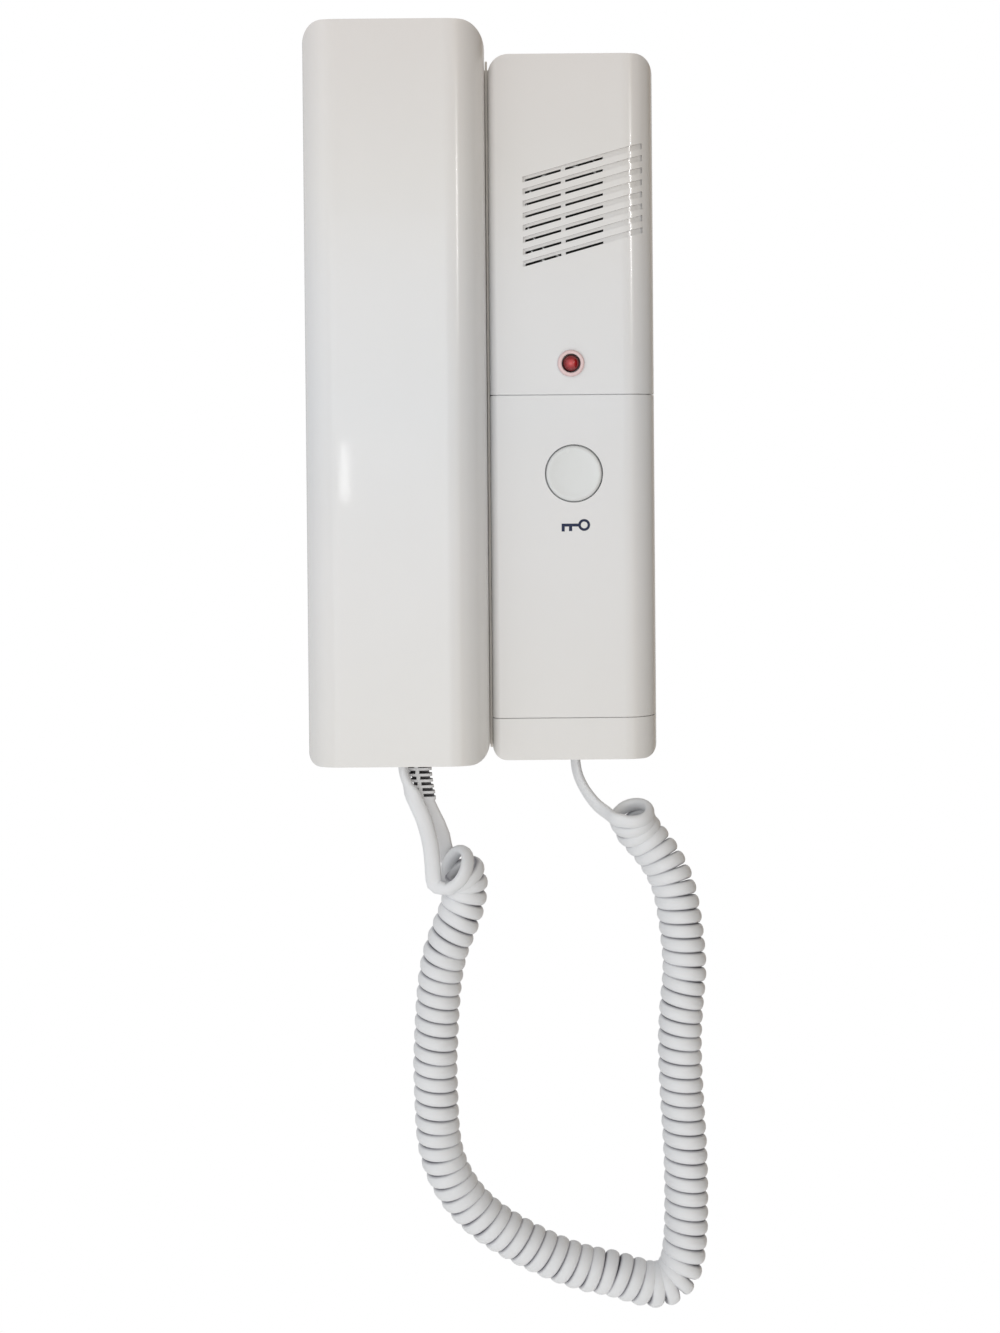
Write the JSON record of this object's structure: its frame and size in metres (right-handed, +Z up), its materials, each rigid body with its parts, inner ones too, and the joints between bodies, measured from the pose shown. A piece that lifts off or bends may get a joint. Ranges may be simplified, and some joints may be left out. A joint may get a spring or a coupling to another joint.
{
  "type": "wall telephone handset set",
  "caption": "Slim wall-mounted door handset: lift-off handset on a cradle, base tower with call speaker grille, indicator lamp and door button, joined by a hanging curly cord.",
  "frame": {"origin": "middle of the rear housing's wall face", "axes": "+Y into the wall, +Z up, +X to the right of a person who faces the phone"},
  "size_m": [0.1169, 0.0465, 0.3805],
  "materials": {
    "housing_plastic": "satin",
    "cradle_plastic": "satin",
    "cover_plastic": "gloss",
    "handset_plastic": "gloss",
    "button_plastic": "gloss",
    "bezel_plastic": "gloss",
    "lamp_red": "gloss",
    "dark_plastic": "satin",
    "terminal_plastic": "satin",
    "board_laminate": "satin",
    "capacitor_sleeve": "gloss",
    "cone_paper": "matte",
    "soft_rubber": "matte",
    "boot_vinyl": "satin",
    "cord_vinyl": "satin",
    "steel": "satin"
  },
  "bodies": {
    "base": {"rear_housing": "housing_plastic", "cradle_cover": "cradle_plastic", "upper_cover": "cover_plastic", "lower_cover": "cover_plastic", "speaker_gasket": "soft_rubber", "speaker_frame": "steel", "speaker_cone": "cone_paper", "speaker_magnet": "steel", "lamp_bezel": "bezel_plastic", "lamp_lens": "lamp_red", "lamp_spacer": "dark_plastic", "circuit_board": "board_laminate", "board_screw_1": "steel", "board_screw_2": "steel", "terminal_block": "terminal_plastic", "terminal_screw_1": "steel", "terminal_screw_2": "steel", "terminal_screw_3": "steel", "terminal_screw_4": "steel", "control_chip": "dark_plastic", "line_capacitor": "capacitor_sleeve", "button_spring": "steel", "door_switch": "dark_plastic", "hook_pin": "steel", "hook_spring": "steel", "hook_switch": "dark_plastic", "cord_clamp": "dark_plastic", "cord_lead_base": "cord_vinyl", "curly_cord": "cord_vinyl"},
    "handset": {"handset_front_shell": "handset_plastic", "handset_rear_shell": "handset_plastic", "receiver_gasket": "soft_rubber", "receiver_capsule": "dark_plastic", "microphone_grommet": "soft_rubber", "microphone_capsule": "steel", "handset_screw_1": "steel", "handset_screw_2": "steel", "handset_board": "board_laminate", "strain_relief_boot": "boot_vinyl", "cord_lead_handset": "cord_vinyl"},
    "door_button": {"door_button": "button_plastic"},
    "door_plunger": {"door_switch_plunger": "button_plastic"},
    "hook_lever": {"hook_lever": "button_plastic"},
    "hook_plunger": {"hook_switch_plunger": "steel"}
  },
  "joints": [
    {"name": "handset_lift", "type": "slide", "parent": "base", "child": "handset", "axis": [0, -1, 0], "range_m": [0, 0.06]},
    {"name": "door_button_press", "type": "slide", "parent": "base", "child": "door_button", "axis": [0, 1, 0], "range_m": [0, 0.0012], "stiffness_N_per_m": 400, "springref_m": -0.001, "deforming": ["button_spring"]},
    {"name": "door_plunger_press", "type": "slide", "parent": "base", "child": "door_plunger", "axis": [0, 1, 0], "range_m": [0, 0.0012]},
    {"name": "hook_lever_swing", "type": "hinge", "parent": "base", "child": "hook_lever", "pos_m": [-0.024, -0.007, 0.028], "axis": [1, 0, 0], "range_deg": [0, 10], "deforming": ["hook_spring"]},
    {"name": "hook_plunger_release", "type": "slide", "parent": "base", "child": "hook_plunger", "axis": [0, -1, 0], "range_m": [0, 0.001]}
  ],
  "couplings": [
    {"joint": "door_plunger_press", "follows": "door_button_press", "ratio": 1},
    {"joint": "hook_lever_swing", "follows": "handset_lift", "rad_per_m": 2.9},
    {"joint": "hook_plunger_release", "follows": "handset_lift", "ratio": 0.0166}
  ]
}
